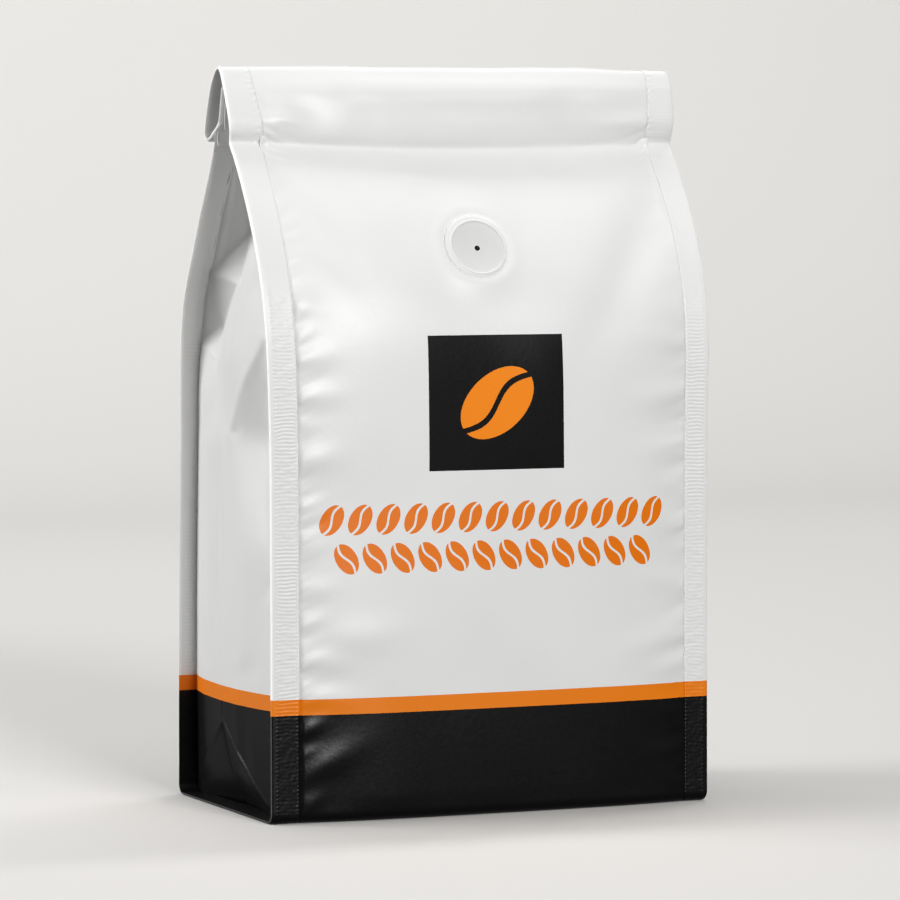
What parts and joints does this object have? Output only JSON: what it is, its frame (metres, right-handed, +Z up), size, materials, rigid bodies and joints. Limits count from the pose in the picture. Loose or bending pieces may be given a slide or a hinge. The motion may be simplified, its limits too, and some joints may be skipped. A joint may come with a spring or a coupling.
{
  "type": "quad-seal coffee pouch",
  "caption": "Filled stand-up coffee pouch with sealed side edges, folded side gussets, a flat foot, a round one-way valve and a rolled-down top.",
  "frame": {"origin": "centre of the foot, on the surface the pouch stands on", "axes": "+Z up, -Y the way the printed front panel and the valve face, +X to the right of someone who looks at the front"},
  "size_m": [0.139, 0.083, 0.2093],
  "materials": {
    "laminate_film": "satin white plastic laminate, printed matte black at the foot with an orange stripe above it",
    "valve_plastic": "satin white moulded plastic under clear film"
  },
  "bodies": {
    "root": {"pouch": "laminate_film", "degassing_valve": "valve_plastic"}
  },
  "joints": []
}
